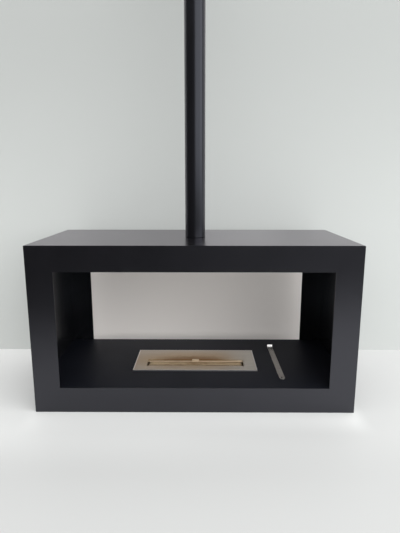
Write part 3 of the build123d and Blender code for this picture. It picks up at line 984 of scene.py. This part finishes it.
class MakeFuelTank(Operator):
    """Makes the open fuel tank under the burner plate."""

    bl_idname = "fireplace.make_fuel_tank"
    bl_label = "Fuel tank"

    def execute(self, context):
        sizes = context.scene.fireplace_burner
        low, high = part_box("fuel_tank")
        bm = bmesh.new()
        new_block(bm, low, high)
        lid = [face for face in bm.faces if face.normal.z > 0.5]
        bmesh.ops.delete(bm, geom=lid, context="FACES")
        round_off(bm, edges_along(2, bm.edges), sizes.tank_corner, 6)
        round_off(bm, creases(bm, lambda place: near(place.z, low.z)), sizes.tank_fold)
        bmesh.ops.recalc_face_normals(bm, faces=bm.faces)
        steel = "brushed_stainless"
        piece = finished(bm, "fuel_tank_shell", "burner", steel, ["fuel_tank"], False)
        wall = piece.modifiers.new("sheet", "SOLIDIFY")
        wall.thickness = sizes.tank_sheet
        wall.offset = -1.0
        wall.use_even_offset = True
        return {"FINISHED"}


class MakeDamper(Operator):
    """Makes the sliding damper with its upright tab."""

    bl_idname = "fireplace.make_damper"
    bl_label = "Damper"

    def execute(self, context):
        sizes = context.scene.fireplace_burner
        low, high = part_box("damper_plate")
        top = low.z + sizes.damper_sheet
        half_tab = sizes.tab_width / 2
        tab_front = low.y + sizes.tab_setback
        tab_rear = tab_front + sizes.damper_sheet
        bm = bmesh.new()
        new_block(bm, low, (high.x, high.y, top))
        cuts = [((side, 0.0, 0.0), (1.0, 0.0, 0.0)) for side in (-half_tab, half_tab)]
        cuts += [((0.0, side, 0.0), (0.0, 1.0, 0.0)) for side in (tab_front, tab_rear)]
        for point, normal in cuts:
            everything = [*bm.verts, *bm.edges, *bm.faces]
            bmesh.ops.bisect_plane(bm, geom=everything, plane_co=point, plane_no=normal, dist=CUT_THROUGH)
        foot = Vector((0.0, (tab_front + tab_rear) / 2, top))
        root = min(bm.faces, key=lambda face: (face.calc_center_median() - foot).length)
        pull_out(bm, [root], (0.0, 0.0, high.z - top))
        outward(bm)
        shoulders = edges_along(1, creases(bm, lambda place: near(place.z, high.z)))
        round_off(bm, shoulders, sizes.tab_corner, 5)
        steel = "brushed_damper_steel"
        piece = finished(bm, "damper_shutter", "damper", steel, ["damper_plate"])
        edge = piece.modifiers.new("deburred edges", "BEVEL")
        edge.width = sizes.damper_edge
        edge.segments = 2
        edge.limit_method = "ANGLE"
        edge.angle_limit = CREASE_ANGLE
        piece.modifiers.move(1, 0)  # to before the weighted normals
        return {"FINISHED"}


class MakeWool(Operator):
    """Makes the matted ceramic wool in its basket."""

    bl_idname = "fireplace.make_wool"
    bl_label = "Ceramic wool"

    def execute(self, context):
        sizes = context.scene.fireplace_burner
        low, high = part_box("ceramic_wool")
        bm = bmesh.new()
        new_block(bm, low, high)
        for axis, step in enumerate(WOOL_GRID):
            cuts = round((high - low)[axis] / step) - 1
            edges = edges_along(axis, bm.edges)
            bmesh.ops.subdivide_edges(bm, edges=edges, cuts=cuts, use_grid_fill=True)
        radius = Vector((sizes.wool_edge,) * 3)
        core_low, core_high = low + radius, high - radius
        for vert in bm.verts:
            core = Vector(min(max(v, a), b) for v, a, b in zip(vert.co, core_low, core_high))
            away = (vert.co - core).normalized()
            lump = noise.fractal(vert.co * LUMPS_A_METRE, 1.0, 2.0, 4) * 0.5 + 0.5
            tuft = noise.noise(vert.co * TUFTS_A_METRE) * 0.5 + 0.5
            vert.co = core + away * (sizes.wool_edge - LUMP_DEPTH * lump - TUFT_DEPTH * tuft)
        outward(bm)
        fibre = "ceramic_fibre"
        piece = finished(bm, "ceramic_wool_mat", "burner", fibre, ["ceramic_wool"], False)
        return {"FINISHED"}


class MakeDamperTool(Operator):
    """Makes the loose flat tool with its bent end and hanging hole."""

    bl_idname = "fireplace.make_damper_tool"
    bl_label = "Damper tool"

    def execute(self, context):
        sizes = context.scene.fireplace_burner
        low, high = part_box("damper_tool")
        thick = sizes.tool_thickness
        hole_y = low.y + sizes.tool_hole_inset
        head_rear = hole_y + sizes.tool_hole_inset
        bend = sizes.tool_bend
        turn = pi / 2 - sizes.tool_lean
        hook = (high.z - low.z - thick - bend + bend * cos(turn)) / sin(turn)
        bend_start = high.y - (bend + thick) * sin(turn) - hook * cos(turn)
        bm = bmesh.new()
        head = flat_face(bm, low, (high.x, head_rear))
        near_corners = [vert for vert in head.verts if near(vert.co.y, low.y)]
        round_off(bm, near_corners, sizes.tool_corner, 8, "VERTICES")
        head = next(iter(bm.faces))
        radius = sizes.tool_hole / 2
        circle = bmesh.ops.create_circle(bm, cap_ends=True, segments=SMALL_STEPS, radius=radius)["verts"]
        bmesh.ops.translate(bm, vec=((low.x + high.x) / 2, hole_y, 0.0), verts=circle)
        hole = next(face for face in bm.faces if face is not head)
        holed_sheet(bm, head, hole, thick)
        pull_out(bm, [end_face(bm, head_rear)], (0.0, bend_start - head_rear, 0.0))
        end = end_face(bm, bend_start)
        geometry = [*end.verts, *end.edges, end]
        last = swung(bm, geometry, (0.0, bend_start, thick + bend), (1.0, 0.0, 0.0), turn, 8)
        pull_out(bm, only(BMFace, last), (0.0, hook * cos(turn), hook * sin(turn)))
        turned(bm, Matrix.Translation((0.0, 0.0, low.z)))
        outward(bm)
        round_off(bm, creases(bm, lambda place: True), sizes.tool_edge, 2)
        finished(bm, "damper_tool_bar", "tool", "brushed_tool_steel", ["damper_tool"])
        return {"FINISHED"}


class SetStage(Operator):
    """Sets the floor, the wall behind, the light and the camera."""

    bl_idname = "fireplace.set_stage"
    bl_label = "Stage, light and camera"

    def execute(self, context):
        stage = context.scene.fireplace_stage
        table_top("pale_floor", stage)
        floor = new_backdrop("floor", Matrix.Identity(4), "pale_floor")
        painted_wall("pale_wall", stage)
        upright = Matrix.Translation((0.0, stage.wall_place, 0.0)) @ Matrix.Rotation(pi / 2, 4, "X")
        wall = new_backdrop("wall", upright, "pale_wall")
        wall.visible_diffuse = False
        wall.visible_shadow = False
        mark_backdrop(floor, wall)
        light_room(context.scene, stage)
        lamp = new_object("soft_lamp", bpy.data.lights.new("soft_lamp", "AREA"))
        lamp.data.shape = "RECTANGLE"
        lamp.data.size, lamp.data.size_y = LAMP_SIZE
        lamp.data.energy = stage.lamp
        lamp.data.color = LAMP_COLOUR
        lamp.visible_camera = False
        lamp.location = LAMP_PLACE
        aim = Vector(LAMP_AIM) - Vector(LAMP_PLACE)
        lamp.rotation_euler = aim.to_track_quat("-Z", "Y").to_euler()
        camera = new_object("camera", bpy.data.cameras.new("camera"))
        camera.data.lens = stage.lens
        camera.location = CAMERA_PLACE
        camera.rotation_euler = CAMERA_TURN
        context.scene.camera = camera
        context.scene.view_settings.view_transform = "Standard"
        return {"FINISHED"}


class FireplacePanel(Panel):
    """Lists the operators in the order in which they run."""

    bl_idname = "VIEW3D_PT_fireplace"
    bl_label = "Hanging bioethanol fireplace"
    bl_space_type = "VIEW_3D"
    bl_region_type = "UI"
    bl_category = "Fireplace"

    def draw(self, context):
        for operator in OPERATORS:
            self.layout.operator(operator.bl_idname)


GROUPS = {
    "fireplace_casing": FireplaceCasingSizes,
    "fireplace_burner": FireplaceBurnerSizes,
    "fireplace_finishes": FireplaceFinishes,
    "fireplace_stage": FireplaceStage,
}
OPERATORS = [
    SetStage, MakeFinishes, DressKeptSteel, MakeFrames, MakeFireboxFloor, MakeWelds, MakePole,
    MakeCeilingCover, MakeBurnerPlate, MakeFuelTank, MakeDamper, MakeWool, MakeDamperTool,
]


def register():
    """Registers the sizes, the operators and the panel."""
    for known in [*GROUPS.values(), *OPERATORS, FireplacePanel]:
        bpy.utils.register_class(known)
    for name, group in GROUPS.items():
        setattr(bpy.types.Scene, name, PointerProperty(type=group))


def unregister():
    """Takes back what register did."""
    for name in GROUPS:
        delattr(bpy.types.Scene, name)
    for known in [FireplacePanel, *reversed(OPERATORS), *reversed(GROUPS.values())]:
        bpy.utils.unregister_class(known)


def main():
    """Makes the whole fireplace and works out how large it came out."""
    register()
    for operator in OPERATORS:
        category, name = operator.bl_idname.split(".")
        getattr(getattr(bpy.ops, category), name)()
    boxes = {"cad": cad_box, "visual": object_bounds()}
    plain = {key: [list(corner) for corner in box] for key, box in boxes.items()}


if __name__ == "__main__":
    main()
